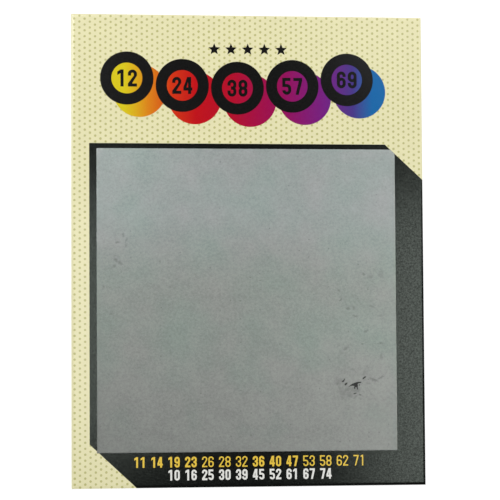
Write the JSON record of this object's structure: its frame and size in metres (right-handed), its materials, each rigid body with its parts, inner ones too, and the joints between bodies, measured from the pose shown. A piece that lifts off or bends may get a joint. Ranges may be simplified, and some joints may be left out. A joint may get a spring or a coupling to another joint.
{
  "type": "scratch-off bingo card",
  "caption": "Flat printed board card: a header of numbered balls, and a black panel with a square silver scratch film over a hidden bingo board.",
  "frame": {"origin": "centre of the card's flat back face, which it lies on", "axes": "+X to the right as the card is read, +Y towards the header edge, +Z out of the printed face"},
  "size_m": [0.1142, 0.1524, 0.0005],
  "materials": {
    "board_stock": "smooth white coated board, matt, with rolled trimmed edges",
    "cream_ink": "cream print with fine olive dots, satin",
    "black_ink": "solid black print, satin with a soft sheen",
    "pale_ink": "pale cream print, satin",
    "rainbow_ink": "print running from yellow through red and purple to blue, satin",
    "yellow_ink": "solid yellow print, satin",
    "white_ink": "solid white print, satin",
    "brown_ink": "brown print, satin",
    "cheese_ink": "warm yellow print, satin",
    "red_ink": "red print, satin",
    "crimson_ink": "crimson print, satin",
    "blue_ink": "blue print, satin",
    "gold_ink": "golden yellow print, satin",
    "purple_ink": "purple print, satin",
    "orange_ink": "orange print, satin",
    "release_varnish": "clear gloss varnish",
    "blocking_ink": "matt black flexible coat",
    "scratch_silver": "fine-grained silver-grey scratch coat, satin, lightly scuffed"
  },
  "bodies": {
    "card": {"card_stock": "board_stock", "cream_ground": "cream_ink", "black_panel": "black_ink", "board_ground": "pale_ink", "header_stars": "black_ink", "title_shadows": "rainbow_ink", "title_windows": "rainbow_ink", "title_balls": "black_ink", "title_numbers": "black_ink", "rule_numbers_yellow": "yellow_ink", "rule_numbers_white": "white_ink", "board_grid": "black_ink", "slice_crusts": "brown_ink", "slice_cheese": "cheese_ink", "slice_pepperoni": "red_ink", "balloons": "crimson_ink", "balloon_strings": "black_ink", "gift_boxes": "blue_ink", "gift_ribbons": "gold_ink", "party_hats": "purple_ink", "hat_pompoms": "orange_ink", "stars": "orange_ink", "release_coat": "release_varnish"},
    "scratch_layer": {"blocking_coat": "blocking_ink", "silver_coat": "scratch_silver"}
  },
  "joints": [
    {"name": "scratch_layer_lift", "type": "slide", "parent": "card", "child": "scratch_layer", "axis": [0, 0, 1], "range_m": [0, 0.03]}
  ]
}
